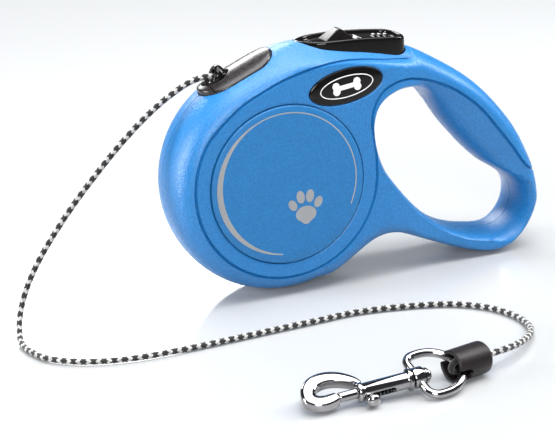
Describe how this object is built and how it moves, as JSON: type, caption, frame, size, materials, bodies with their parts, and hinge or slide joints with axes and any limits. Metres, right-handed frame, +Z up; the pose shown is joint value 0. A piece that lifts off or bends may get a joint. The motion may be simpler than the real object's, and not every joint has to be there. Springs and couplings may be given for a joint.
{
  "type": "retractable dog leash",
  "caption": "Retractable cord leash with a loop handle, round reel housing, brake button with lock ramp, braided cord and a chrome swivel bolt hook.",
  "frame": {"origin": "on the floor under the middle of the housing and handle, which stand on Z = 0", "axes": "+X to the handle, the cord leaves at -X, -Y is the face with the hook in front, +Z up"},
  "size_m": [0.1728, 0.1129, 0.0773],
  "materials": {
    "shell_blue": "moulded, fine satin texture",
    "disc_blue": "moulded, satin",
    "gloss_black": "polished",
    "nozzle_grey": "polished",
    "drum_acetal": "moulded",
    "spring_steel": "bright",
    "chrome": "polished",
    "braided_cord": "braided, black and white",
    "sleeve_rubber": "smooth"
  },
  "bodies": {
    "housing": {"front_shell": "shell_blue", "rear_shell": "shell_blue", "front_cover_disc": "disc_blue", "rear_cover_disc": "disc_blue", "front_badge": "gloss_black", "rear_badge": "gloss_black", "housing_screw_1": "spring_steel", "housing_screw_2": "spring_steel", "housing_screw_3": "spring_steel", "cord_nozzle": "nozzle_grey", "nozzle_eyelet": "gloss_black", "axle": "spring_steel", "power_spring": "spring_steel", "button_spring": "spring_steel", "cord_feed": "braided_cord", "cord": "braided_cord", "cord_end_sleeve": "sleeve_rubber", "cord_loop": "braided_cord"},
    "reel": {"reel_drum": "drum_acetal", "reel_rear_flange": "drum_acetal", "spring_cover": "spring_steel", "wound_cord": "braided_cord"},
    "button": {"brake_button": "gloss_black", "brake_pawl": "spring_steel"},
    "lock": {"lock_slider": "gloss_black"},
    "ring": {"swivel_ring": "chrome"},
    "hook": {"swivel_rivet": "chrome", "hook_body": "chrome", "bolt_spring": "spring_steel"},
    "bolt": {"hook_bolt": "chrome", "bolt_knob": "chrome"}
  },
  "joints": [
    {"name": "reel_spin", "type": "hinge", "parent": "housing", "child": "reel", "pos_m": [-0.0275, 0, 0.035], "axis": [0, 1, 0], "continuous": true},
    {"name": "button_press", "type": "slide", "parent": "housing", "child": "button", "axis": [0, 0, -1], "range_m": [0, 0.003], "stiffness_N_per_m": 300, "springref_m": -0.001, "deforming": ["button_spring"]},
    {"name": "lock_slide", "type": "slide", "parent": "button", "child": "lock", "axis": [-1, 0, 0], "range_m": [0, 0.003]},
    {"name": "ring_swing", "type": "hinge", "parent": "housing", "child": "ring", "pos_m": [-0.01293, -0.09068, 0.00469], "axis": [0.1119, -0.9205, -0.3743], "range_deg": [-15, 15]},
    {"name": "hook_swivel", "type": "hinge", "parent": "ring", "child": "hook", "pos_m": [-0.02525, -0.09198, 0.00419], "axis": [-0.9985, 0.0174, -0.0523], "continuous": true},
    {"name": "bolt_slide", "type": "slide", "parent": "hook", "child": "bolt", "axis": [0.9985, -0.0174, 0.0523], "range_m": [0, 0.0045], "stiffness_N_per_m": 250, "springref_m": -0.002, "deforming": ["bolt_spring"]}
  ]
}
